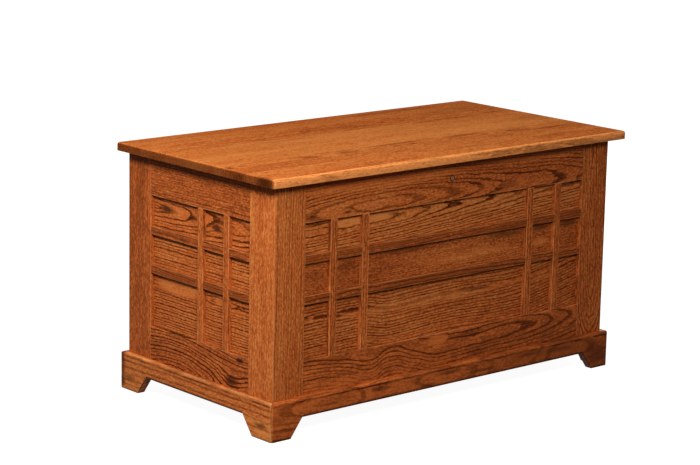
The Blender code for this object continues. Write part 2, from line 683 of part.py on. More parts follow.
def lock(lid, front_rail):
    inner = WALL_THICKNESS
    barrel_end = inner + 2 * FIT
    cam_start = barrel_end + FIT
    cam_end = cam_start + CAM_THICKNESS
    face = -FIT
    lock_frame = pivot("lock_frame", (0, FRONT_Y, LOCK_Z))

    radius = LOCK_BARREL_RADIUS + FIT
    hole_ends = [(-OVERCUT, radius), (inner + OVERCUT, radius)]
    cut(front_rail, "lock_hole", turned(hole_ends, "y", (BODY_WIDTH / 2, LOCK_Z)))

    bore = hole_radius(LOCK_PLUG_RADIUS)
    profile = [
        (face - LOCK_FACE_THICKNESS, bore),
        (face - LOCK_FACE_THICKNESS, LOCK_FACE_RADIUS * 0.86),
        (face - LOCK_FACE_THICKNESS * 0.55, LOCK_FACE_RADIUS * 0.97),
        (face, LOCK_FACE_RADIUS),
        (face, LOCK_BARREL_RADIUS),
        (barrel_end, LOCK_BARREL_RADIUS),
        (barrel_end, bore),
    ]
    metal("lock_cylinder", turned(profile, "y", (0, 0), closed=True), lock_frame, BRASS)

    # The plug turns a cam, whose pin works in a notch of the bolt. The pin swings equally far to each side.
    swing = BOLT_TRAVEL / math.sqrt(2)
    plug_face = face - LOCK_FACE_THICKNESS + FIT
    profile = [
        (plug_face, LOCK_PLUG_RADIUS),
        (cam_start, LOCK_PLUG_RADIUS),
        (cam_start, CAM_RADIUS),
        (cam_end, CAM_RADIUS),
    ]
    plug = metal("lock_plug", turned(profile, "y", (0, 0)), lock_frame, BRASS)
    pin_start = cam_end - CAM_THICKNESS / 2
    pin_end = cam_end + CAM_PIN_LENGTH
    pin_x, pin_z = -swing / math.sqrt(2), swing / math.sqrt(2)
    pin = turned([(pin_start, CAM_PIN_RADIUS), (pin_end, CAM_PIN_RADIUS)], "y", (pin_x, pin_z))
    add(plug, "cam_pin", pin)
    low = (-KEYWAY_WIDTH / 2, plug_face - OVERCUT, -KEYWAY_HEIGHT / 2)
    high = (KEYWAY_WIDTH / 2, plug_face + KEYWAY_DEPTH, KEYWAY_HEIGHT / 2)
    cut(plug, "keyway", box(low, high))

    # The bolt, drawn back. Its notch is open below, and its shoulder stops short of the strike.
    bolt_near = inner + BOLT_SETBACK
    bolt_far = bolt_near + BOLT_THICKNESS
    bolt_low = pin_z - CAM_PIN_RADIUS - FIT
    bolt_high = bolt_low + BOLT_HEIGHT
    notch_half = CAM_PIN_RADIUS + BOLT_PIN_PLAY
    notch_top = swing + CAM_PIN_RADIUS + BOLT_PIN_PLAY
    left, right = STRIKE_SETOFF - STRIKE_THICKNESS / 2, STRIKE_SETOFF + STRIKE_THICKNESS / 2
    nose_end = left - 3 * STRIKE_PLAY
    bolt_end = left - STRIKE_PLAY - BOLT_TRAVEL
    bolt_start = nose_end - BOLT_LENGTH
    nose_high = bolt_high - BOLT_NOSE_STEP
    nose_low = nose_high - BOLT_NOSE_HEIGHT
    outline = [
        (bolt_start, bolt_low),
        (pin_x - notch_half, bolt_low),
        (pin_x - notch_half, notch_top),
        (pin_x + notch_half, notch_top),
        (pin_x + notch_half, bolt_low),
        (bolt_end, bolt_low),
        (bolt_end, nose_low),
        (nose_end, nose_low),
        (nose_end, nose_high),
        (bolt_end, nose_high),
        (bolt_end, bolt_high),
        (bolt_start, bolt_high),
    ]
    metal("lock_bolt", prism(outline, bolt_near, bolt_far, "y"), lock_frame, STEEL)

    # The case is open towards the front rail. The bolt slides on a shelf in it, and its top has a slot
    # for the strike, open at the rail because the strike swings forwards as the lid rises.
    half = CASE_WIDTH / 2
    case_near, case_far = inner + FIT, inner + CASE_DEPTH
    case_top = LOCK_DROP - CASE_TOP_DROP
    shape = box((-half, case_near, -CASE_BELOW_PLUG), (half, case_far, case_top))
    case = metal("lock_case", shape, lock_frame, STEEL)
    back = case_far - CASE_WALL
    shelf_top = bolt_low - FIT
    shelf_bottom = shelf_top - CASE_SHELF_THICKNESS
    cavity = [
        (case_near - OVERCUT, -CASE_BELOW_PLUG + CASE_WALL),
        (back, -CASE_BELOW_PLUG + CASE_WALL),
        (back, shelf_bottom),
        (bolt_near, shelf_bottom),
        (bolt_near, shelf_top),
        (back, shelf_top),
        (back, case_top - CASE_WALL),
        (case_near - OVERCUT, case_top - CASE_WALL),
    ]
    cut(case, "cavity", prism(cavity, CASE_WALL - half, half - CASE_WALL, "x"))

    # The strike hangs from the lid: a plate with a tongue, and a window in it for the bolt.
    window_near, window_far = bolt_near - STRIKE_PLAY, bolt_far + STRIKE_PLAY
    window_low, window_high = nose_low - STRIKE_PLAY, nose_high + STRIKE_PLAY
    tongue_near, tongue_far = window_near - STRIKE_RIM, window_far + STRIKE_RIM
    slot_play = 3 * STRIKE_PLAY
    low = (left - slot_play, case_near - OVERCUT, case_top - 2 * CASE_WALL)
    high = (right + slot_play, tongue_far + slot_play, case_top + OVERCUT)
    cut(case, "strike_slot", box(low, high))

    # From here the heights count from the hinge axis and the depths from its line, as in the lid's frame.
    across, up = FRONT_Y - HINGE_Y, LOCK_Z - HINGE_Z
    top = LID_UNDERSIDE - FIT
    bottom = window_low - STRIKE_RIM + up
    middle = across + (tongue_near + tongue_far) / 2
    half_width = (tongue_far - tongue_near) / 2
    outline = arc((middle, bottom + half_width / 2), half_width / 2, 180, 360)
    outline = [(middle + 2 * (y - middle), z) for y, z in outline]
    outline += [(middle + half_width, top - STRIKE_PLATE_THICKNESS / 2)]
    outline += [(middle - half_width, top - STRIKE_PLATE_THICKNESS / 2)]
    strike = metal("lock_strike", prism(outline, left, right, "x"), lid, STEEL)
    low = (STRIKE_SETOFF - STRIKE_PLATE_LENGTH / 2, across + inner + 3 * FIT, top - STRIKE_PLATE_THICKNESS)
    high = (STRIKE_SETOFF + STRIKE_PLATE_LENGTH / 2, middle + half_width + STRIKE_RIM, top)
    add(strike, "plate", box(low, high))
    low = (left - OVERCUT, across + window_near, up + window_low)
    high = (right + OVERCUT, across + window_far, up + window_high)
    cut(strike, "window", box(low, high))


def bench_chest():
    clear_scene()
    body = pivot("body", (0, 0, 0))
    top_rails = walls()
    chest_floor(body)
    fixed_axis = pivot("fixed_hinge_axis", (0, HINGE_Y, HINGE_Z))
    lid = pivot("lid_axis", (0, HINGE_Y, HINGE_Z))
    board = lid_panel(lid)
    lid_cleats(lid)
    hinges(fixed_axis, lid, top_rails["back"], board)
    for hand, side in (("left", -1), ("right", 1)):
        stay(hand, side, body, lid)
    lock(lid, top_rails["front"])


bench_chest()
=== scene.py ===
"""The looks of a stained oak chest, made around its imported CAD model, which gives every size and place.

Each board is a piece of a tree: its rings run round a pith beside the board, so a flat face shows arches,
an edge shows straight lines and an end shows arcs. A board's own place is (along its grain, across its
face, into its thickness), in metres.
"""

import math
import random

import bmesh
import bpy
from mathutils import Matrix, Vector

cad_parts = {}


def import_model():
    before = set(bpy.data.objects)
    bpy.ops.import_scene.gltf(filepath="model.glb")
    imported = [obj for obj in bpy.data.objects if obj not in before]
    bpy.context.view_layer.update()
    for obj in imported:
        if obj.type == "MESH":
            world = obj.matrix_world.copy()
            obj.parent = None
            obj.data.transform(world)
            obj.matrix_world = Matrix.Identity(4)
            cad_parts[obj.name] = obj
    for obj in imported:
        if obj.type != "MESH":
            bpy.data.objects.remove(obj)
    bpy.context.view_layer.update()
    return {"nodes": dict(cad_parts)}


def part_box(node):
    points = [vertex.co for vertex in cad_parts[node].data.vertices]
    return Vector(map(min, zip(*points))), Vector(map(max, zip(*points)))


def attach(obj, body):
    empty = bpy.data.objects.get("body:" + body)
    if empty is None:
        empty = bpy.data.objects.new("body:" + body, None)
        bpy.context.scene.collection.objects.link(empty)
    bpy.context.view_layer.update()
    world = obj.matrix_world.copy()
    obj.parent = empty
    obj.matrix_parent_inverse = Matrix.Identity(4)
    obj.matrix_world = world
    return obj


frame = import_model()

# Stained oak, from its palest wood to the pores that hold the stain, in linear colour.
HONEY = (0.880, 0.300, 0.078, 1.0)
GOLDEN = (0.620, 0.202, 0.047, 1.0)
ORANGE = (0.490, 0.110, 0.022, 1.0)
RUSSET = (0.255, 0.055, 0.0102, 1.0)
PORE = (0.058, 0.0092, 0.0010, 1.0)
# KNOT_AND_SHADE is also the colour of painted shade: shadow lines, shaded edges and a shaded corner.
KNOT_AND_SHADE = (0.030, 0.0050, 0.0010, 1.0)
# RUBBED_AND_HIGHLIT is rubbed wood and also a painted highlight along edges.
RUBBED_AND_HIGHLIT = (0.780, 0.310, 0.100, 1.0)
# What the colour is multiplied by at a board's ends.
END_GRAIN = (0.35, 0.31, 0.31, 1.0)

# Waves to the metre along, across and into a board, for each kind of unevenness in the wood.
SLOW, QUICK, FRAYED = (3.0, 14.0, 14.0), (26.0, 85.0, 85.0), (120.0, 460.0, 460.0)
DASHES, HAIRS, SPECKS = (60.0, 430.0, 430.0), (34.0, 1100.0, 1100.0), (150.0, 400.0, 400.0)
FIBRES, MOTTLE = (20.0, 260.0, 260.0), (130.0, 260.0, 260.0)
DRIFT, BLOTCHES = (1.8, 16.0, 16.0), (14.0, 50.0, 50.0)
WORN_AND_HIGHLIT_PATCHES, LINE_BREAKS = (14.0, 60.0, 60.0), (20.0, 60.0, 60.0)

# How far a sharp edge is eased with sandpaper.
WOOD_EASE = 0.0006
METAL_EASE = 0.00025
# How wide the paler band beside a board's edges is, partly rubbed wood and partly a painted highlight, and on
# which boards it is wider: on the base boards, for a painted highlight along their rounded tops.
WORN_AND_HIGHLIT_WIDTH = 0.0022
WIDER_HIGHLIT_EDGES = {"left_base_board": 0.0085, "right_base_board": 0.0085}
# How strong the streaks and specks are on the boards where they are calmer than elsewhere.
CALMER = {"front_base_board": 0.50, "front_rail_bottom": 0.80}

# The reach of the curves that say where the pith is along a board.
LONGEST, DEEPEST = 1.2, 0.10

# How far a spot's ragged outline strays along and across the board, and its noise's scale.
RAGGED, RAGGED_SCALE = (0.012, 0.006, 0.0), 90.0
# A spot that reaches at least this far across leaves the rings as they are.
BROAD_SPOT = 0.03


class Graph:
    """Writes a node tree in short calls. A value is a number, a row of numbers or another node's socket."""

    def __init__(self, tree):
        self.tree = tree

    def feed(self, socket, value):
        if isinstance(value, bpy.types.NodeSocket):
            self.tree.links.new(value, socket)
        else:
            socket.default_value = value

    def node(self, kind, *values, **settings):
        made = self.tree.nodes.new("ShaderNode" + kind)
        for name, setting in settings.items():
            setattr(made, name, setting)
        for socket, value in zip(made.inputs, values):
            self.feed(socket, value)
        return made

    def math(self, operation, *values):
        return self.node("Math", *values, operation=operation).outputs[0]

    def vector(self, operation, *values):
        made = self.node("VectorMath", *values, operation=operation)
        return made.outputs["Value" if operation in ("LENGTH", "DOT_PRODUCT") else "Vector"]

    def split(self, vector):
        return self.node("SeparateXYZ", vector).outputs

    def join(self, x, y, z):
        return self.node("CombineXYZ", x, y, z).outputs[0]

    def noise(self, place, stretch, detail=1.0, roughness=0.5):
        """Noise from 0 to 1, about stretch waves to the metre along each axis."""
        made = self.node("TexNoise")
        self.feed(made.inputs["Vector"], self.vector("MULTIPLY", place, stretch))
        self.feed(made.inputs["Scale"], 1.0)
        self.feed(made.inputs["Detail"], detail)
        self.feed(made.inputs["Roughness"], roughness)
        return made.outputs[0]

    def swing(self, noise, reach):
        """Noise as a swing about nothing."""
        return self.math("MULTIPLY", self.math("SUBTRACT", noise, 0.5), reach)

    def ease(self, value, start, end, low=0.0, high=1.0):
        """Goes smoothly from low at start to high at end."""
        made = self.node("MapRange", value, start, end, low, high, interpolation_type="SMOOTHSTEP")
        return made.outputs[0]

    def mix(self, factor, first, second, blend="MIX", kind="RGBA"):
        made = self.node("Mix", data_type=kind, blend_type=blend)
        ends = {"RGBA": (6, 7, 2), "VECTOR": (4, 5, 1), "FLOAT": (2, 3, 0)}[kind]
        self.feed(made.inputs[0], factor)
        self.feed(made.inputs[ends[0]], first)
        self.feed(made.inputs[ends[1]], second)
        return made.outputs[ends[2]]

    def group(self, tree, **values):
        made = self.tree.nodes.new("ShaderNodeGroup")
        made.node_tree = tree
        for name, value in values.items():
            self.feed(made.inputs[name], value)
        return made


def new_group(name, inputs, outputs):
    tree = bpy.data.node_groups.new(name, "ShaderNodeTree")
    for side, sockets in (("INPUT", inputs), ("OUTPUT", outputs)):
        for socket, kind in sockets.items():
            tree.interface.new_socket(socket, in_out=side, socket_type="NodeSocket" + kind)
    given = tree.nodes.new("NodeGroupInput").outputs
    result = tree.nodes.new("NodeGroupOutput").inputs
    return tree, Graph(tree), given, result


def oak_rings(g, given):
    """How dark the porous wood of the year ring is at a place, from 0 to 1."""
    middle, across, slope = g.split(given["Axis"])
    bow, spacing, wave = g.split(given["Shape"])
    along, aside, into = g.split(given["Place"])
    from_middle = g.math("SUBTRACT", along, middle)
    leaning = g.math("MULTIPLY_ADD", g.math("MULTIPLY_ADD", from_middle, bow, slope), from_middle, across)
    beside = g.math("SUBTRACT", g.math("SUBTRACT", aside, leaning), given["Sway"])
    behind = g.math("SUBTRACT", given["Depth"], into)
    radius = g.vector("LENGTH", g.join(beside, behind, 0.0))
    seeded = g.vector("ADD", given["Place"], given["Seed"])
    slow = g.math("MULTIPLY", g.swing(g.noise(seeded, SLOW, 1.0), 2.0), wave)
    quick = g.swing(g.noise(seeded, QUICK, 1.5), 0.0046)
    frayed = g.swing(g.noise(seeded, FRAYED, 1.0), 0.0013)
    for warp in (slow, quick, frayed, given["Bend"]):
        radius = g.math("ADD", radius, warp)
    years = g.math("ADD", g.math("DIVIDE", radius, spacing), given["Phase"])
    first, second, _ = g.split(given["Seed"])
    uneven = g.node("TexNoise", noise_dimensions="1D")
    g.feed(uneven.inputs["W"], g.math("MULTIPLY_ADD", years, 0.45, first))
    g.feed(uneven.inputs["Scale"], 1.0)
    g.feed(uneven.inputs["Detail"], 0.0)
    years = g.math("ADD", years, g.swing(uneven.outputs[0], 0.6))
    character = g.node("TexWhiteNoise", noise_dimensions="1D")
    g.feed(character.inputs["W"], g.math("ADD", g.math("FLOOR", years), second))
    boldness, width, _ = g.split(character.outputs["Color"])
    part = g.math("FRACT", years)
    onset = g.ease(part, 0.0, 0.05)
    past = g.math("SUBTRACT", part, g.math("MULTIPLY_ADD", width, 0.16, 0.16))
    fading = g.ease(past, 0.0, 0.18, 1.0, 0.0)
    return g.math("MULTIPLY", g.math("MULTIPLY", onset, fading), g.ease(boldness, 0.0, 0.6, 0.56, 1.0))


def oak_group():
    """Stained and varnished oak at a place in a board.

    The tree's pith runs beside the board: Axis is (where along, across there, slope) and Shape (bow, ring
    spacing, reach of the rings' slow waves). Depth is how far behind the face the pith is at the place, Sway
    is how far it strays across there, Bend is how far the rings give way to a knot, and Phase shifts them, in
    years. Tones are (tone, contrast of the rings, strength of the flecks), and Grit is the strength of the
    streaks, specks and pores. Knot (knots, smudges and painted shade), Plain, End and Worn (rubbed wood and a
    painted highlight) say how much of a dark mark, of plain wood, of end grain and of paler edges there is.
    """
    vectors = dict.fromkeys(("Place", "Seed", "Axis", "Shape", "Tones"), "Vector")
    numbers = ("Depth", "Sway", "Phase", "Bend", "Knot", "Plain", "End", "Worn", "Grit")
    numbers = dict.fromkeys(numbers, "Float")
    outputs = {"Colour": "Color", "Roughness": "Float", "Height": "Float"}
    tree, g, given, result = new_group("stained_oak", {**vectors, **numbers}, outputs)
    seeded = g.vector("ADD", given["Place"], given["Seed"])
    tone, contrast, fleck = g.split(given["Tones"])
    contrast = g.math("MULTIPLY", contrast, g.math("SUBTRACT", 1.0, given["Plain"]))
    early = oak_rings(g, given)

    # Pores are dashes along the grain, crowded in the porous wood of each ring.
    dash = g.noise(seeded, DASHES, 2.0, 0.6)
    crowded = g.ease(dash, 0.36, 0.54)
    sparse = g.ease(dash, 0.50, 0.68)
    hair = g.ease(g.noise(seeded, HAIRS, 1.0), 0.50, 0.66)
    fibre = g.noise(seeded, FIBRES, 2.5, 0.65)
    mottle = g.noise(seeded, MOTTLE, 1.5, 0.6)
    drift = g.noise(seeded, DRIFT, 2.0)
    blotch = g.noise(seeded, BLOTCHES, 2.0)

    shade = g.math("ADD", tone, g.swing(drift, 0.9))
    shade = g.math("ADD", shade, g.swing(blotch, 0.45))
    grit = g.math("MULTIPLY", given["Grit"], g.math("MULTIPLY_ADD", given["Plain"], -0.55, 1.0))
    shade = g.math("MULTIPLY_ADD", g.swing(fibre, 0.9), grit, shade)
    shade = g.math("MULTIPLY_ADD", g.swing(mottle, 1.9), grit, shade)
    shade = g.math("MULTIPLY_ADD", given["Plain"], 0.30, shade)
    wood = g.mix(g.ease(shade, 0.0, 0.5), RUSSET, ORANGE)
    wood = g.mix(g.ease(shade, 0.45, 1.0), wood, GOLDEN)
    wood = g.mix(g.ease(shade, 1.0, 1.9), wood, HONEY)
    filled = g.math("MULTIPLY", early, g.math("MULTIPLY_ADD", crowded, 0.40, 0.62))
    filled = g.math("MULTIPLY", filled, contrast)
    stained = g.mix(filled, wood, PORE)
    speck = g.ease(g.noise(seeded, SPECKS, 1.0), 0.48, 0.66)
    flecked = g.math("MULTIPLY", speck, g.math("MULTIPLY", fleck, 0.50))
    pores = g.math("MAXIMUM", g.math("MULTIPLY", sparse, 0.22), flecked)
    hairy = g.math("MULTIPLY", hair, g.math("MULTIPLY_ADD", early, 0.40, 0.26))
    pores = g.math("MULTIPLY", g.math("MAXIMUM", pores, hairy), grit)
    stained = g.mix(pores, stained, PORE)

    # Knots, smudges and painted shade darken the wood; rubbed wood and a painted highlight make its edges
    # paler.
    knotted_and_shaded = g.mix(given["Knot"], stained, KNOT_AND_SHADE)
    worn_and_highlit = g.mix(given["Worn"], knotted_and_shaded, RUBBED_AND_HIGHLIT)
    g.feed(result["Colour"], g.mix(given["End"], worn_and_highlit, END_GRAIN, blend="MULTIPLY"))
    matt = g.math("MULTIPLY_ADD", filled, 0.16, 0.40)
    g.feed(result["Roughness"], g.math("MULTIPLY_ADD", pores, 0.14, matt))
    sunk = g.math("MULTIPLY_ADD", early, -0.35, g.math("MULTIPLY", pores, -0.65))
    g.feed(result["Height"], g.math("MULTIPLY_ADD", fibre, 0.35, sunk))
    return tree


OAK = oak_group()


def figure(name, **wanted):
    """How one board was cut from its tree. What isn't wanted is drawn by the board's name.

    depth is the pith's distance behind the face at points along the board: where it changes the rings cross
    the face as arches that point to its larger values, and where it doesn't they run straight. sway is how
    far the pith strays across the board, at points along it too.
    """
    draw = random.Random(name)
    made = {
        "middle": draw.uniform(0.2, 0.8),
        "across": draw.uniform(-0.01, 0.10),
        "slope": draw.uniform(-0.03, 0.03),
        "bow": draw.uniform(-0.05, 0.05),
        "spacing": draw.uniform(0.0048, 0.0062),
        "wave": draw.uniform(0.003, 0.006),
        "tone": draw.uniform(0.42, 0.60),
        "contrast": draw.uniform(0.70, 0.90),
        "fleck": draw.uniform(0.0, 0.5),
        "phase": draw.uniform(0.0, 1.0),
        "depth": [(step * 0.28, draw.uniform(0.006, 0.045)) for step in range(5)],
        "sway": None,
    }
    made["seed"] = tuple(draw.uniform(3.0, 60.0) for _ in range(3))
    made.update(wanted)
    return {
        "Seed": made["seed"],
        "Axis": (made["middle"], made["across"], made["slope"]),
        "Shape": (made["bow"], made["spacing"], made["wave"]),
        "Tones": (made["tone"], made["contrast"], made["fleck"]),
        "Depth": made["depth"],
        "Sway": made["sway"],
        "Phase": made["phase"],
    }


def value_along(g, along, points):
    """A value, at most DEEPEST, that changes smoothly along a board through some points."""
    curve = g.node("FloatCurve")
    mapped = curve.mapping.curves[0]
    while len(mapped.points) < len(points):
        mapped.points.new(0.5, 0.5)
    for point, (where, depth) in zip(mapped.points, points):
        point.location = (where / LONGEST, (depth + DEEPEST) / (2 * DEEPEST))
        point.handle_type = "AUTO_CLAMPED"
    curve.mapping.update()
    curve.inputs["Factor"].default_value = 1.0
    g.feed(curve.inputs["Value"], g.math("DIVIDE", along, LONGEST))
    return g.math("MULTIPLY_ADD", curve.outputs[0], 2 * DEEPEST, -DEEPEST)


def board_place(g, axes):
    """A point's place in the board, from (world axis, direction, start) along, across and into it."""
    world = g.split(g.node("TexCoord").outputs["Object"])
    own = [g.math("MULTIPLY_ADD", world[axis], sign, -sign * start) for axis, sign, start in axes]
    return g.join(*own), own


def own_box(node, axes):
    """The middle and the half size of a node's box in the board's own place."""
    low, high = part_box(node)
    ends = [sorted((sign * (low[axis] - start), sign * (high[axis] - start))) for axis, sign, start in axes]
    return [(a + b) / 2 for a, b in ends], [(b - a) / 2 for a, b in ends]


def worn_and_highlit_edges(g, place, node, axes):
    """Rubbed wood and a painted highlight: a board is paler near the edges of its box, where the second least
    distance to its faces is small.
    """
    width = WIDER_HIGHLIT_EDGES.get(node, WORN_AND_HIGHLIT_WIDTH)
    middle, half = own_box(node, axes)
    from_faces = g.vector("ABSOLUTE", g.vector("SUBTRACT", place, middle))
    a, b, c = g.split(g.vector("SUBTRACT", half, from_faces))
    second = g.math("MAXIMUM", g.math("MINIMUM", a, b), g.math("MINIMUM", g.math("MAXIMUM", a, b), c))
    patchy = g.noise(place, WORN_AND_HIGHLIT_PATCHES, 1.0)
    near = g.ease(second, width * 0.25, width, 1.0, 0.0)
    return g.math("MULTIPLY", near, g.ease(patchy, 0.30, 0.70, 0.05, 0.42))


def patches(g, place, spots):
    """(how far the rings bend round the spots, how dark they are, how plain).

    A spot is (along, across, reach along, reach across, strength): a knot, a dark smudge or painted shade,
    or plain wood where the strength is negative. The rings bend round a dark spot unless it is broad.
    """
    bend, dark, plain = 0.0, 0.0, 0.0
    noise = g.node("TexNoise", place, 1.0, RAGGED_SCALE).outputs["Color"]
    ragged = g.vector("MULTIPLY_ADD", noise, RAGGED, place)
    for along, across, length, height, strength in spots:
        away = g.vector("SUBTRACT", ragged, (along + RAGGED[0] / 2, across + RAGGED[1] / 2, 0.0))
        away = g.vector("LENGTH", g.vector("MULTIPLY", away, (1.0 / length, 1.0 / height, 0.0)))
        if strength < 0:
            plain = g.math("MAXIMUM", plain, g.ease(away, 0.6, 1.15, -strength, 0.0))
        else:
            if height < BROAD_SPOT:
                bend = g.math("ADD", bend, g.ease(away, 0.0, 3.0, height * 0.5, 0.0))
            dark = g.math("MAXIMUM", dark, g.ease(away, 0.2, 1.2, strength, 0.0))
    return bend, dark, plain


def base_painted_shade(g, place, node, axes, foot):
    """Painted shade on a base board's face: a broken dark line below its rounded top, and darkening along its
    lower edge.

    Foot is how far in from the board's end a foot reaches at the floor, and where its slope meets the cutout.
    """
    middle, half = own_box(node, axes)
    along, height, into = g.split(place)
    from_end = g.math("SUBTRACT", half[0], g.math("ABSOLUTE", g.math("SUBTRACT", along, middle[0])))
    lower_edge = g.node("MapRange", from_end, *foot, 0.0, CUTOUT_HEIGHT).outputs[0]
    low = g.ease(g.math("SUBTRACT", height, lower_edge), 0.0020, 0.0070, 0.90, 0.0)
    behind_face = g.math("SUBTRACT", into, middle[2] - half[2])
    low = g.math("MULTIPLY", low, g.ease(behind_face, 0.0012, 0.0030, 1.0, 0.0))
    beside = g.math("ABSOLUTE", g.math("SUBTRACT", height, middle[1] + half[1] - BASE_LINE_BELOW_TOP))
    broken = g.ease(g.noise(place, LINE_BREAKS), 0.38, 0.62, 0.25, 0.90)
    return g.math("MAXIMUM", low, g.math("MULTIPLY", g.ease(beside, 0.0009, 0.0026, 1.0, 0.0), broken))


def lid_edge_painted_shade(g, own):
    """Painted shade on the lid's front edge: darker towards its lower side."""
    below = g.ease(own[2], 0.007, 0.019, 0.0, 0.18)
    return g.math("MULTIPLY", below, g.ease(own[1], 0.0, 0.004, 1.0, 0.0))


def new_material(name):
    material = bpy.data.materials.new(name)
    material.use_nodes = True
    shader = material.node_tree.nodes["Principled BSDF"]
    return material, Graph(material.node_tree), shader


def oak(name, node, axes, rows, spots=(), sheen=0.03, foot=None):
    """The oak of one node.

    Rows are (where the board ends across, figure), from below or from the front. Foot is a base board's foot,
    as base_painted_shade takes it.
    """
    material, g, shader = new_material(name)
    place, own = board_place(g, axes)
    figures = [dict(made) for _, made in rows]
    for made in figures:
        made["Depth"] = value_along(g, own[0], made["Depth"])
        made["Sway"] = value_along(g, own[0], made["Sway"]) if made["Sway"] else 0.0
    values = figures[0]
    for (end, _), above in zip(rows, figures[1:]):
        past = g.math("GREATER_THAN", own[1], end)
        kinds = {key: "FLOAT" if key in ("Depth", "Sway", "Phase") else "VECTOR" for key in values}
        values = {key: g.mix(past, values[key], above[key], kind=kind) for key, kind in kinds.items()}
    bend, dark, plain = patches(g, place, spots)
    if foot:
        # A base board gets painted shade below its top and along its lower edge.
        dark = g.math("MAXIMUM", dark, base_painted_shade(g, place, node, axes, foot))
        end_grain = 0.0
    else:
        facing = g.split(g.node("TexCoord").outputs["Normal"])[axes[0][0]]
        end_grain = g.ease(g.math("ABSOLUTE", facing), 0.55, 0.9)
    if node == "lid_panel":
        # The lid's front edge gets painted shade towards its lower side.
        dark = g.math("MAXIMUM", dark, lid_edge_painted_shade(g, own))
    # Paler edges: partly rubbed wood, partly a painted highlight.
    worn_and_highlit = worn_and_highlit_edges(g, place, node, axes)
    marks = {"Bend": bend, "Knot": dark, "Plain": plain, "End": end_grain, "Worn": worn_and_highlit}
    wood = g.group(OAK, Place=place, Grit=CALMER.get(node, 1.0), **marks, **values)
    g.feed(shader.inputs["Base Color"], wood.outputs["Colour"])
    g.feed(shader.inputs["Roughness"], wood.outputs["Roughness"])
    bump = g.node("Bump")
    bump.inputs["Strength"].default_value = 0.35
    bump.inputs["Distance"].default_value = 0.0003
    g.feed(bump.inputs["Height"], wood.outputs["Height"])
    g.feed(shader.inputs["Normal"], bump.outputs[0])
    shader.inputs["Specular IOR Level"].default_value = sheen
    return material


def metal(name, colour, dull, roughness, specks):
    """Brushed metal with a tarnish that gathers in patches. Specks are its noise waves to the metre."""
    material, g, shader = new_material(name)
    place = g.node("TexCoord").outputs["Object"]
    patch = g.noise(place, (specks,) * 3, 3.0, 0.6)
    brushed = g.noise(place, (specks * 30, specks * 2, specks * 30), 2.0)
    shade = g.mix(g.ease(patch, 0.38, 0.66), (*dull, 1.0), (*colour, 1.0))
    g.feed(shader.inputs["Base Color"], g.mix(g.math("MULTIPLY", brushed, 0.3), shade, (*dull, 1.0)))
    rough = g.math("ADD", g.ease(patch, 0.3, 0.7, roughness + 0.16, roughness), g.swing(brushed, 0.10))
    g.feed(shader.inputs["Roughness"], rough)
    bump = g.node("Bump")
    bump.inputs["Strength"].default_value = 0.15
    bump.inputs["Distance"].default_value = 0.0001
    g.feed(bump.inputs["Height"], brushed)
    g.feed(shader.inputs["Normal"], bump.outputs[0])
    shader.inputs["Metallic"].default_value = 1.0
    return material


def dress(node, material):
    mesh = frame["nodes"][node].data
    mesh.materials.clear()
    mesh.materials.append(material)


# The walls' own axes: along the wall from its left seen from outside, up, and inwards from its face.
body_low = Vector((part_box("front_stile_left")[0].x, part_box("front_stile_left")[0].y, 0.0))
body_high = Vector((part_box("front_stile_right")[1].x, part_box("back_stile_left")[1].y, 0.0))
UP = (2, 1, 0.0)
WALLS = {
    "front": ((0, 1, body_low.x), UP, (1, 1, body_low.y)),
    "right": ((1, 1, body_low.y), UP, (0, -1, body_high.x)),
    "back": ((0, -1, body_high.x), UP, (1, -1, body_high.y)),
    "left": ((1, -1, body_high.y), UP, (0, 1, body_low.x)),
}
# How far in from its corner each wall's foot reaches, at the floor and where its slope meets the cutout.
FEET = {"front": (0.053, 0.085), "right": (0.066, 0.098), "back": (0.053, 0.085), "left": (0.066, 0.098)}
CUTOUT_HEIGHT = 0.043
# How far below a base board's top its painted shade line runs.
BASE_LINE_BELOW_TOP = 0.0078
# Where the cross strips hide the joints between the boards of a panel.
LOWER_JOINT = sum(corner.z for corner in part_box("front_cross_strip_lower")) / 2
UPPER_JOINT = sum(corner.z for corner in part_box("front_cross_strip_upper")) / 2

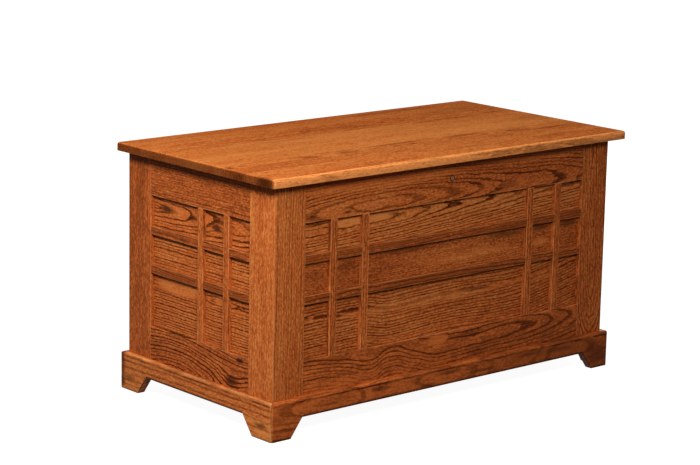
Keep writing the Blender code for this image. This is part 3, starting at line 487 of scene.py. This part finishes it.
# Figures read from the photograph. Wall pieces count along from the wall's left and across from the floor.
FIGURES = {
    "front_rail_top": dict(
        middle=0.50, across=0.480, slope=0.004, bow=-0.03, spacing=0.0056, wave=0.002, tone=0.40,
        contrast=0.88, phase=0.80,
        depth=[
            (0.08, 0.0305), (0.195, 0.0235), (0.27, 0.0205), (0.34, 0.0205), (0.406, 0.0235),
            (0.492, 0.0291), (0.667, 0.0403), (0.75, 0.0425), (0.849, 0.0459), (0.93, 0.0525),
        ],
    ),
    "front_rail_bottom": dict(
        middle=0.70, across=0.136, slope=0.02, bow=0.0, spacing=0.0074, wave=0.005, tone=0.26,
        contrast=0.85, phase=0.72,
        depth=[
            (0.08, 0.0240), (0.25, 0.0205), (0.45, 0.0205), (0.60, 0.0220), (0.75, 0.0262),
            (0.93, 0.0450),
        ],
        sway=[
            (0.0, 0.052), (0.14, 0.046), (0.21, 0.034), (0.275, 0.020), (0.33, 0.036), (0.40, 0.020),
            (0.50, 0.0), (1.2, 0.0),
        ],
    ),
    "left_rail_top": dict(
        across=0.40, slope=0.01, bow=0.0, spacing=0.0056, wave=0.002, tone=0.28, contrast=0.65, fleck=0.9,
        depth=[(0.0, 0.02), (0.5, 0.03)],
    ),
    "left_rail_bottom": dict(
        middle=0.25, across=0.060, slope=0.0, bow=0.0, spacing=0.0066, wave=0.003, tone=0.32,
        contrast=1.15,
        depth=[(0.0, 0.062), (0.10, 0.030), (0.175, 0.020), (0.27, 0.040), (0.36, 0.060), (0.5, 0.064)],
    ),
    "left_stile_left": dict(
        across=-0.04, bow=0.0, slope=0.0, spacing=0.0064, wave=0.004, tone=0.33, contrast=0.22, fleck=0.5,
        depth=[(0.0, 0.02), (0.6, 0.03)],
    ),
    "left_stile_right": dict(
        across=0.60, bow=0.0, slope=0.01, spacing=0.0066, wave=0.006, tone=0.48, contrast=0.20, fleck=0.6,
        depth=[(0.0, 0.02), (0.6, 0.03)],
    ),
    "front_stile_left": dict(
        across=-0.05, bow=0.0, slope=0.02, spacing=0.0066, wave=0.006, tone=0.52, contrast=0.40,
        fleck=0.5, depth=[(0.0, 0.02), (0.6, 0.03)],
    ),
    "front_stile_right": dict(
        middle=0.40, across=0.965, bow=0.0, slope=-0.02, spacing=0.0056, wave=0.005, tone=0.42,
        contrast=0.66, depth=[(0.08, 0.040), (0.2, 0.012), (0.3, 0.010), (0.55, 0.014)],
    ),
    "left_base_board": dict(
        across=-0.05, bow=0.0, slope=0.01, spacing=0.0125, wave=0.005, tone=0.70, contrast=0.52,
        depth=[(0.0, 0.02), (0.5, 0.03)],
    ),
    "front_base_board": dict(
        middle=0.5, across=0.062, bow=0.0, slope=0.0, spacing=0.0110, wave=0.004, tone=0.16,
        contrast=0.50,
        depth=[
            (0.0, 0.022), (0.16, 0.008), (0.32, 0.026), (0.50, 0.010), (0.72, 0.034), (0.88, 0.012),
            (1.04, 0.03),
        ],
    ),
}
# A panel's figures, from the lowest board to the highest.
PANEL_FIGURES = {
    "front": (
        dict(
            middle=0.6, across=0.243, slope=0.0, bow=0.0, spacing=0.0062, wave=0.004, tone=0.46,
            contrast=1.0, phase=0.11,
            depth=[(0.08, 0.0192), (0.50, 0.0192), (0.595, 0.0172), (0.69, 0.0192), (0.93, 0.0205)],
            sway=[
                (0.0, 0.002), (0.26, 0.006), (0.33, -0.004), (0.40, -0.001), (0.52, 0.003), (0.66, 0.0),
                (0.76, 0.004), (0.84, 0.016), (0.93, 0.032),
            ],
        ),
        dict(
            across=0.10, slope=0.0, bow=0.0, spacing=0.0050, wave=0.004, tone=0.38, contrast=0.30,
            fleck=1.0, depth=[(0.0, 0.02), (1.0, 0.03)],
        ),
        dict(
            middle=0.38, across=0.446, slope=0.04, bow=0.0, spacing=0.0054, wave=0.0015, tone=0.70,
            contrast=1.0, phase=0.33,
            depth=[
                (0.08, 0.0225), (0.30, 0.0225), (0.38, 0.0252), (0.433, 0.0306), (0.53, 0.0360),
                (0.63, 0.0414), (0.75, 0.0468), (0.93, 0.0500),
            ],
        ),
    ),
    "left": (
        dict(
            middle=0.3, across=0.262, slope=0.0, bow=0.0, spacing=0.0062, wave=0.003, tone=0.58,
            contrast=0.95,
            depth=[(0.08, 0.016), (0.25, 0.016), (0.31, 0.010), (0.36, 0.003), (0.45, 0.0)],
        ),
        dict(
            middle=0.25, across=0.20, slope=0.0, bow=0.0, spacing=0.0072, wave=0.003, tone=0.66,
            contrast=0.90, depth=[(0.0, 0.02), (0.5, 0.03)],
        ),
        dict(
            middle=0.235, across=0.434, slope=0.0, bow=0.0, spacing=0.0070, wave=0.002, tone=0.52,
            contrast=0.96, phase=0.14, depth=[(0.08, 0.0066), (0.235, 0.0286), (0.43, 0.0446)],
        ),
    ),
}
# Knots, smudges, painted shade and plain wood. See patches.
SPOTS = {
    "left_panel": (
        (0.128, 0.435, 0.030, 0.012, 0.90), (0.226, 0.431, 0.018, 0.008, 0.80),
        (0.306, 0.425, 0.026, 0.009, 0.85), (0.175, 0.264, 0.095, 0.018, -1.0),
        (0.322, 0.262, 0.024, 0.008, -0.8), (0.160, 0.436, 0.050, 0.015, -0.6),
    ),
    "left_rail_bottom": ((0.374, 0.100, 0.026, 0.016, 0.85), (0.404, 0.152, 0.018, 0.007, 1.0)),
    "left_base_board": (
        (0.493, 0.030, 0.026, 0.008, 0.75), (0.020, 0.030, 0.026, 0.008, 0.55),
        # The spot at -0.012 along is painted shade on the board's far end, where its rounded corner turns
        # away.
        (0.527, 0.045, 0.0040, 0.060, 0.50), (-0.012, 0.040, 0.0190, 0.200, 1.0),
        (0.500, 0.015, 0.030, 0.009, -0.8),
    ),
    "front_panel": (
        (0.095, 0.250, 0.012, 0.005, 0.7), (0.186, 0.243, 0.014, 0.005, 0.7),
        (0.595, 0.243, 0.055, 0.004, 0.45), (0.210, 0.446, 0.045, 0.011, -1.0),
        (0.295, 0.446, 0.050, 0.009, -0.9), (0.115, 0.452, 0.030, 0.004, 0.6),
        (0.430, 0.240, 0.300, 0.013, -0.62), (0.790, 0.244, 0.070, 0.011, -0.5),
        (0.720, 0.459, 0.020, 0.004, 0.7), (0.540, 0.458, 0.030, 0.003, 0.5),
        # The six dark spots along the upper part of the middle board, under the upper cross strip, are
        # painted shadow.
        (0.685, 0.360, 0.075, 0.011, 0.58), (0.800, 0.362, 0.040, 0.013, 0.58),
        (0.890, 0.360, 0.045, 0.011, 0.60), (0.380, 0.363, 0.120, 0.010, 0.45),
        (0.210, 0.350, 0.040, 0.018, 0.25), (0.120, 0.340, 0.030, 0.018, 0.30),
        (0.560, 0.328, 0.180, 0.012, -0.6), (0.800, 0.328, 0.030, 0.013, -0.8),
    ),
    "front_rail_top": (
        (0.102, 0.472, 0.010, 0.004, 0.7), (0.200, 0.471, 0.016, 0.004, 0.8),
        (0.849, 0.482, 0.018, 0.005, 0.75), (0.915, 0.469, 0.014, 0.004, 0.5),
        (0.300, 0.528, 0.260, 0.020, -0.6), (0.760, 0.534, 0.200, 0.012, -0.5),
        (0.690, 0.478, 0.060, 0.009, -0.45), (0.595, 0.478, 0.040, 0.008, -0.35),
    ),
    "front_rail_bottom": (
        (0.475, 0.148, 0.036, 0.012, -0.9), (0.565, 0.144, 0.045, 0.010, 0.50),
        (0.180, 0.098, 0.130, 0.014, -0.55), (0.420, 0.096, 0.110, 0.012, -0.35),
        (0.604, 0.098, 0.050, 0.010, 0.35),
    ),
    "front_base_board": (
        # The four spots at 0.0856 across, along the board's top, are painted shade dimming its rounded upper
        # edge.
        (0.020, 0.022, 0.036, 0.006, 0.5), (0.985, 0.034, 0.060, 0.036, 0.62),
        (0.288, 0.068, 0.026, 0.007, 0.65), (0.150, 0.059, 0.040, 0.004, 0.55),
        (0.505, 0.070, 0.040, 0.006, 0.65), (0.600, 0.058, 0.055, 0.005, 0.60),
        (0.430, 0.050, 0.040, 0.005, 0.50), (0.752, 0.070, 0.040, 0.006, 0.55),
        (0.860, 0.066, 0.050, 0.007, 0.45), (0.180, 0.0856, 0.080, 0.005, 0.35),
        (0.420, 0.0856, 0.090, 0.005, 0.40), (0.640, 0.0856, 0.080, 0.005, 0.40),
        (0.860, 0.0856, 0.100, 0.005, 0.40),
    ),
}


def free_figure(node, axes):
    """What is wanted of a board that the photograph doesn't show, or shows as a thin strip."""
    middle, half = own_box(node, axes)
    low_across = middle[1] - half[1]
    draw = random.Random(node + "_place")
    wanted = {"across": low_across + draw.uniform(-0.03, 0.10)}
    if "cross_strip" in node:
        wanted.update(tone=0.14 if "upper" in node else 0.02, contrast=0.8)
    if "upright_strip" in node:
        wanted.update(across=low_across - 0.08, slope=0.0, bow=0.0, tone=0.44, contrast=0.7)
    return wanted


def dress_walls():
    for side, (along, up, inwards) in WALLS.items():
        for node in frame["nodes"]:
            if not node.startswith(side + "_"):
                continue
            upright = "stile" in node or "upright" in node
            axes = (up, along, inwards) if upright else (along, up, inwards)
            if node.endswith("_panel"):
                known = PANEL_FIGURES.get(side, ({}, {}, {}))
                drawn = [figure(f"{node}_{i}", **wanted) for i, wanted in enumerate(known)]
                rows = list(zip((LOWER_JOINT, UPPER_JOINT, math.inf), drawn))
            else:
                wanted = FIGURES.get(node) or free_figure(node, axes)
                rows = [(math.inf, figure(node, **wanted))]
            foot = FEET[side] if "base_board" in node else None
            dress(node, oak(node + "_oak", node, axes, rows, SPOTS.get(node, ()), foot=foot))


# The lid is glued up from boards. Across counts from its front edge, which has a pale strip to itself.
LID_BOARD_ENDS = (0.007, 0.092, 0.186, 0.281, 0.372, 0.466, math.inf)
LID_FIGURES = (
    dict(across=0.30, tone=1.62, contrast=0.30, fleck=0.1, depth=[(0.0, 0.02), (1.0, 0.03)]),
    dict(across=-0.05, tone=0.68, contrast=0.22, fleck=0.3, depth=[(0.0, 0.02), (1.0, 0.03)]),
    dict(
        middle=0.5, across=0.160, bow=0.0, slope=0.0, spacing=0.0066, tone=0.73, contrast=0.46,
        depth=[
            (0.0, 0.02), (0.3, 0.018), (0.45, 0.008), (0.58, 0.02), (0.70, 0.006), (0.85, 0.02),
            (1.07, 0.03),
        ],
    ),
    dict(across=0.34, tone=0.88, contrast=0.22, fleck=0.2, depth=[(0.0, 0.02), (1.0, 0.01)]),
    dict(across=0.42, tone=0.81, contrast=0.28, fleck=0.2, depth=[(0.0, 0.01), (1.0, 0.03)]),
    dict(
        middle=0.5, across=0.41, bow=0.0, slope=0.0, spacing=0.0066, tone=0.66, contrast=0.40,
        depth=[(0.0, 0.03), (0.6, 0.026), (0.75, 0.012), (0.9, 0.006), (1.07, 0.02)],
    ),
    dict(across=0.60, tone=0.62, contrast=0.35, depth=[(0.0, 0.01), (1.0, 0.03)]),
)
LID_SPOTS = (
    # The first spot, broad and faint, is painted shade over the lid's left part.
    (0.150, 0.230, 0.240, 0.300, 0.06), (0.230, 0.158, 0.050, 0.012, 0.30),
    (0.335, 0.162, 0.045, 0.018, 0.38), (0.500, 0.180, 0.080, 0.008, 0.45),
    (0.540, 0.158, 0.070, 0.006, 0.35), (0.700, 0.176, 0.060, 0.010, 0.45),
    (0.860, 0.160, 0.060, 0.016, 0.35), (0.960, 0.140, 0.090, 0.010, 0.40),
    (0.780, 0.120, 0.060, 0.008, 0.30), (0.850, 0.368, 0.110, 0.007, 0.45),
    (1.000, 0.378, 0.060, 0.007, 0.55), (0.760, 0.362, 0.040, 0.007, 0.45),
    (0.010, 0.160, 0.012, 0.012, 0.50), (0.560, 0.400, 0.090, 0.014, 0.25),
    (0.330, 0.350, 0.120, 0.012, 0.22), (0.620, 0.060, 0.080, 0.012, 0.22),
    (0.440, 0.105, 0.060, 0.008, 0.28), (0.900, 0.060, 0.090, 0.010, 0.28),
    (0.800, 0.520, 0.200, 0.016, 0.28), (0.960, 0.450, 0.160, 0.050, 0.18),
    (1.020, 0.260, 0.090, 0.050, 0.14), (0.000, 0.030, 0.008, 0.035, 0.70),
    (0.000, 0.120, 0.004, 0.030, 0.45), (0.090, 0.150, 0.040, 0.008, 0.25),
)


def dress_lid_and_floor():
    low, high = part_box("lid_panel")
    axes = ((0, 1, low.x), (1, 1, low.y), (2, -1, high.z))
    drawn = [figure(f"lid_board_{i}", **wanted) for i, wanted in enumerate(LID_FIGURES)]
    rows = list(zip(LID_BOARD_ENDS, drawn))
    dress("lid_panel", oak("lid_oak", "lid_panel", axes, rows, LID_SPOTS, sheen=0.0))
    for hand in ("left", "right"):
        node = "lid_cleat_" + hand
        low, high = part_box(node)
        axes = ((1, 1, low.y), (0, 1, low.x), (2, 1, low.z))
        dress(node, oak(node + "_oak", node, axes, [(math.inf, figure(node))]))
    low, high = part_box("floor_panel")
    axes = ((0, 1, low.x), (1, 1, low.y), (2, -1, high.z))
    dress("floor_panel", oak("floor_oak", "floor_panel", axes, [(math.inf, figure("floor_panel", tone=0.9))]))


def dress_hardware():
    dark_brass = metal("darkened_brass", (0.120, 0.036, 0.010), (0.055, 0.015, 0.004), 0.50, 260.0)
    plug_brass = metal("rubbed_brass", (0.35, 0.185, 0.095), (0.11, 0.050, 0.020), 0.42, 420.0)
    bright_brass = metal("hinge_brass", (0.66, 0.46, 0.19), (0.40, 0.26, 0.10), 0.26, 120.0)
    steel = metal("plated_steel", (0.58, 0.57, 0.55), (0.40, 0.39, 0.37), 0.28, 120.0)
    for node in frame["nodes"]:
        if node == "lock_cylinder":
            dress(node, dark_brass)
        elif node == "lock_plug":
            dress(node, plug_brass)
        elif node.startswith("hinge_"):
            dress(node, bright_brass)
        elif node.startswith(("stay_", "lock_")):
            dress(node, steel)
    screws(bright_brass, steel)


# Screws. The leaves of a shut hinge are twice LEAF_GAP apart, so their heads are nearly flush.
LEAF_GAP = 0.0002
FLUSH_HEAD = 0.00012
RAISED_HEAD = 0.0007
LOW_HEAD = 0.0004
HINGE_SCREW_RADIUS = 0.0031
STAY_SCREW_RADIUS = 0.0028
LOCK_SCREW_RADIUS = 0.0026
# Where they stand: on a leaf from its middle and its edge, on the stays and the strike to each side of the
# middle, and on the lock's case in from its corners.
LEAF_SCREWS = ((-0.023, 0.0062), (0, 0.0098), (0.023, 0.0062))
STAY_SCREWS = (-0.0108, 0.0108)
STRIKE_SCREWS = (-0.0115, 0.0115)
CASE_SCREW_INSET = 0.0055
BRACKET_FOOT_WIDTH = 0.014
STAY_THICKNESS = 0.002
STRIKE_PLATE_THICKNESS = 0.0016
# How far a head goes into its plate, and how many sides it has.
HEAD_DEPTH = 0.0003
HEAD_SIDES = 24


def skin(shape, rings, index):
    """Joins rings of as many corners to one closed shell."""
    count = len(rings[0])
    faces = [shape.faces.new(rings[0]), shape.faces.new(rings[-1])]
    for near, far in zip(rings, rings[1:]):
        for i in range(count):
            j = (i + 1) % count
            faces.append(shape.faces.new((near[i], near[j], far[j], far[i])))
    for face in faces:
        face.material_index = index


def screw_head(shape, place, out, slot, radius, height):
    """A slotted head on a face: a low disc under two raised halves, with the slot between them."""
    aside = out.cross(slot)
    half_slot = radius * 0.13

    def ring(reach, level, angles):
        points = [reach * (math.cos(angle) * slot + math.sin(angle) * aside) for angle in angles]
        return [shape.verts.new(place + point + level * out) for point in points]

    round_about = [2 * math.pi * i / HEAD_SIDES for i in range(HEAD_SIDES)]
    skin(shape, [ring(radius * 0.97, level, round_about) for level in (-HEAD_DEPTH, height * 0.3)], 1)
    steps = HEAD_SIDES // 2
    for half in (0.0, math.pi):
        rings = []
        for reach, level in ((1.0, -HEAD_DEPTH), (1.0, height * 0.45), (0.93, height * 0.85), (0.8, height)):
            skipped = math.asin(half_slot / (radius * reach))
            sweep = math.pi - 2 * skipped
            angles = [half + skipped + sweep * i / steps for i in range(steps + 1)]
            rings.append(ring(radius * reach, level, angles))
        skin(shape, rings, 0)


def screw_row(name, body, slot, metals, places, out, radius, height):
    """A piece of several screw heads, with their slots as a hand happened to leave them."""
    draw = random.Random(name)
    out = Vector(out)
    shape = bmesh.new()
    for place in places:
        level = out.orthogonal().normalized()
        turned = Matrix.Rotation(draw.uniform(0.0, math.pi), 3, out) @ level
        screw_head(shape, Vector(place), out, turned, radius, height)
    bmesh.ops.recalc_face_normals(shape, faces=shape.faces)
    mesh = bpy.data.meshes.new(name)
    shape.to_mesh(mesh)
    shape.free()
    for material in metals:
        mesh.materials.append(material)
    made = bpy.data.objects.new(name, mesh)
    bpy.context.scene.collection.objects.link(made)
    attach(made, body)


def screws(brass, steel):
    """The screws of every fitting, found from the fittings' boxes."""
    grime = metal("screw_slot_grime", (0.07, 0.05, 0.035), (0.03, 0.02, 0.014), 0.6, 300.0)
    up, down = (0, 0, 1), (0, 0, -1)
    metals = (steel, grime)
    for hand, side in (("left", -1), ("right", 1)):
        for leaf, body, out, sign in (("body", "carcass", up, -1), ("lid", "lid", down, 1)):
            low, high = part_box(f"hinge_leaf_{leaf}_{hand}")
            middle = (low + high) / 2
            level = middle.z + sign * LEAF_GAP
            places = [(middle.x + x, low.y + y, level) for x, y in LEAF_SCREWS]
            name = f"hinge_screws_{leaf}_{hand}"
            size = HINGE_SCREW_RADIUS, FLUSH_HEAD
            screw_row(name, body, "brass_hinges", (brass, grime), places, out, *size)

        size = STAY_SCREW_RADIUS, RAISED_HEAD
        low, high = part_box("stay_plate_" + hand)
        middle = (low + high) / 2
        face = low.x + STAY_THICKNESS if side < 0 else high.x - STAY_THICKNESS
        places = [(face, middle.y, middle.z + z) for z in STAY_SCREWS]
        name = "stay_plate_screws_" + hand
        screw_row(name, "carcass", "steel_stays", metals, places, (-side, 0, 0), *size)

        low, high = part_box("stay_bracket_" + hand)
        inner = high.x if side < 0 else low.x
        across = inner + side * BRACKET_FOOT_WIDTH / 2
        level = high.z - STAY_THICKNESS
        places = [(across, (low.y + high.y) / 2 + y, level) for y in STAY_SCREWS]
        screw_row("stay_bracket_screws_" + hand, "lid", "steel_stays", metals, places, down, *size)

    low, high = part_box("lock_case")
    across = (low.x + CASE_SCREW_INSET, high.x - CASE_SCREW_INSET)
    upwards = (low.z + CASE_SCREW_INSET, high.z - CASE_SCREW_INSET)
    places = [(x, high.y, z) for x in across for z in upwards]
    size = LOCK_SCREW_RADIUS, RAISED_HEAD
    screw_row("lock_case_screws", "carcass", "steel_lock", metals, places, (0, 1, 0), *size)
    low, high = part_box("lock_strike")
    middle = (low + high) / 2
    places = [(middle.x + x, middle.y, high.z - STRIKE_PLATE_THICKNESS) for x in STRIKE_SCREWS]
    size = LOCK_SCREW_RADIUS, LOW_HEAD
    screw_row("lock_strike_screws", "lid", "steel_lock", metals, places, down, *size)


def smooth_tree():
    """A modifier's node tree that shades every face smooth, for the weighted normals that follow it."""
    tree = bpy.data.node_groups.new("shade_smooth", "GeometryNodeTree")
    for side in ("INPUT", "OUTPUT"):
        tree.interface.new_socket("Geometry", in_out=side, socket_type="NodeSocketGeometry")
    given = tree.nodes.new("NodeGroupInput")
    result = tree.nodes.new("NodeGroupOutput")
    smooth = tree.nodes.new("GeometryNodeSetShadeSmooth")
    tree.links.new(given.outputs[0], smooth.inputs[0])
    tree.links.new(smooth.outputs[0], result.inputs[0])
    return tree


# Corners nearer than this are one. Faces within the first angle are one face, and an edge is sharp from the
# second on, in degrees.
WELD_DISTANCE = 1e-5
FLAT_WITHIN, SHARP_FROM = 0.4, 32.0


def ease_edges():
    """Eases the sharp edges of every CAD piece, and shades its curves smooth."""
    tree = smooth_tree()
    for name, node in frame["nodes"].items():
        wooden = not name.startswith(("hinge_", "stay_", "lock_"))
        weld = node.modifiers.new("weld", "WELD")
        weld.merge_threshold = WELD_DISTANCE
        planar = node.modifiers.new("join_flat_faces", "DECIMATE")
        planar.decimate_type = "DISSOLVE"
        planar.angle_limit = math.radians(FLAT_WITHIN)
        bevel = node.modifiers.new("eased_edges", "BEVEL")
        bevel.width = WOOD_EASE if wooden else METAL_EASE
        bevel.segments = 2
        bevel.limit_method = "ANGLE"
        bevel.angle_limit = math.radians(SHARP_FROM)
        bevel.use_clamp_overlap = True
        bevel.harden_normals = False
        smooth = node.modifiers.new("shade_smooth", "NODES")
        smooth.node_group = tree
        weighted = node.modifiers.new("weighted_normals", "WEIGHTED_NORMAL")
        weighted.weight = 80
        weighted.keep_sharp = False


# The photograph's camera, found from 27 edges and corners of the chest in it. Angles are in degrees.
CAMERA_PLACE = (-3.50826, -3.89389, 1.47461)
CAMERA_HEADING, CAMERA_PITCH, CAMERA_ROLL = 41.385, 12.189, 1.208
CAMERA_LENS, CAMERA_SENSOR = 119.67, 36.0


def camera():
    """The camera, turned from level and north by its heading, then its pitch, then its roll."""
    heading, pitch, roll = map(math.radians, (CAMERA_HEADING, CAMERA_PITCH, CAMERA_ROLL))
    near = math.cos(pitch)
    forward = Vector((math.sin(heading) * near, math.cos(heading) * near, -math.sin(pitch)))
    level = Vector((math.cos(heading), -math.sin(heading), 0.0))
    rise = level.cross(forward)
    right = math.cos(roll) * level + math.sin(roll) * rise
    up = math.cos(roll) * rise - math.sin(roll) * level
    data = bpy.data.cameras.new("camera")
    data.sensor_width = CAMERA_SENSOR
    data.lens = CAMERA_LENS
    made = bpy.data.objects.new("camera", data)
    bpy.context.scene.collection.objects.link(made)
    turn = Matrix((right, up, -forward)).transposed()
    made.matrix_world = Matrix.Translation(CAMERA_PLACE) @ turn.to_4x4()
    bpy.context.scene.camera = made


def seen_directly(g):
    """1 for what the camera, a mirror or a glass shows, and 0 for the light that falls on things."""
    rays = g.node("LightPath").outputs
    seen = g.math("MAXIMUM", rays["Is Camera Ray"], rays["Is Glossy Ray"])
    return g.math("MAXIMUM", seen, rays["Is Transmission Ray"])


def world():
    """White where it is seen. Its light comes from the upper half, most from straight above."""
    made = bpy.data.worlds.new("studio")
    made.use_nodes = True
    g = Graph(made.node_tree)
    background = made.node_tree.nodes["Background"]
    height = g.split(g.node("TexCoord").outputs["Generated"])[2]
    sky = g.mix(g.ease(height, 0.0, 0.9), (0.03, 0.03, 0.03, 1.0), (0.50, 0.50, 0.50, 1.0))
    g.feed(background.inputs["Color"], g.mix(seen_directly(g), sky, (1.0, 1.0, 1.0, 1.0)))
    bpy.context.scene.world = made


# How far the floor reaches, and how far it lies below the feet.
FLOOR_REACH, FLOOR_DROP = 20.0, 0.0002


def floor():
    """A pale floor: matt for the light, and lifted to white where it is seen, so only the shadow shows."""
    shape = bmesh.new()
    bmesh.ops.create_grid(shape, x_segments=1, y_segments=1, size=FLOOR_REACH)
    mesh = bpy.data.meshes.new("floor")
    shape.to_mesh(mesh)
    shape.free()
    made = bpy.data.objects.new("floor", mesh)
    made.location.z = -FLOOR_DROP
    bpy.context.scene.collection.objects.link(made)
    material = bpy.data.materials.new("floor")
    material.use_nodes = True
    tree = material.node_tree
    tree.nodes.clear()
    g = Graph(tree)
    matt = g.node("BsdfDiffuse", (0.06, 0.06, 0.06, 1.0)).outputs[0]
    faint = g.node("BsdfDiffuse", (0.26, 0.26, 0.26, 1.0)).outputs[0]
    glow = g.node("Emission", (1.0, 1.0, 1.0, 1.0), 0.95).outputs[0]
    lifted = g.node("AddShader", faint, glow).outputs[0]
    shown = g.node("MixShader", seen_directly(g), matt, lifted)
    output = g.node("OutputMaterial")
    g.feed(output.inputs["Surface"], shown.outputs[0])
    mesh.materials.append(material)


def lamp(name, place, target, size, strength):
    data = bpy.data.lights.new(name, "AREA")
    data.shape = "DISK"
    data.size = size
    data.energy = strength
    made = bpy.data.objects.new(name, data)
    bpy.context.scene.collection.objects.link(made)
    made.location = place
    made.rotation_mode = "QUATERNION"
    made.rotation_quaternion = (Vector(target) - Vector(place)).to_track_quat("-Z", "Y")


def lights():
    """Soft lamps: for the left end and the lid, for the front, and a low one for the two far sides."""
    lamp("left", (-1.9, -0.4, 1.75), (-0.1, 0.0, 0.3), 0.45, 36.6)
    lamp("front", (-1.4, -1.9, 1.65), (-0.1, 0.0, 0.3), 0.6, 40.0)
    lamp("far", (2.3, 2.1, 0.8), (0.1, 0.0, 0.3), 1.2, 30.0)


bpy.context.scene.view_settings.view_transform = "Standard"
camera()
world()
floor()
lights()
dress_walls()
dress_lid_and_floor()
dress_hardware()
ease_edges()
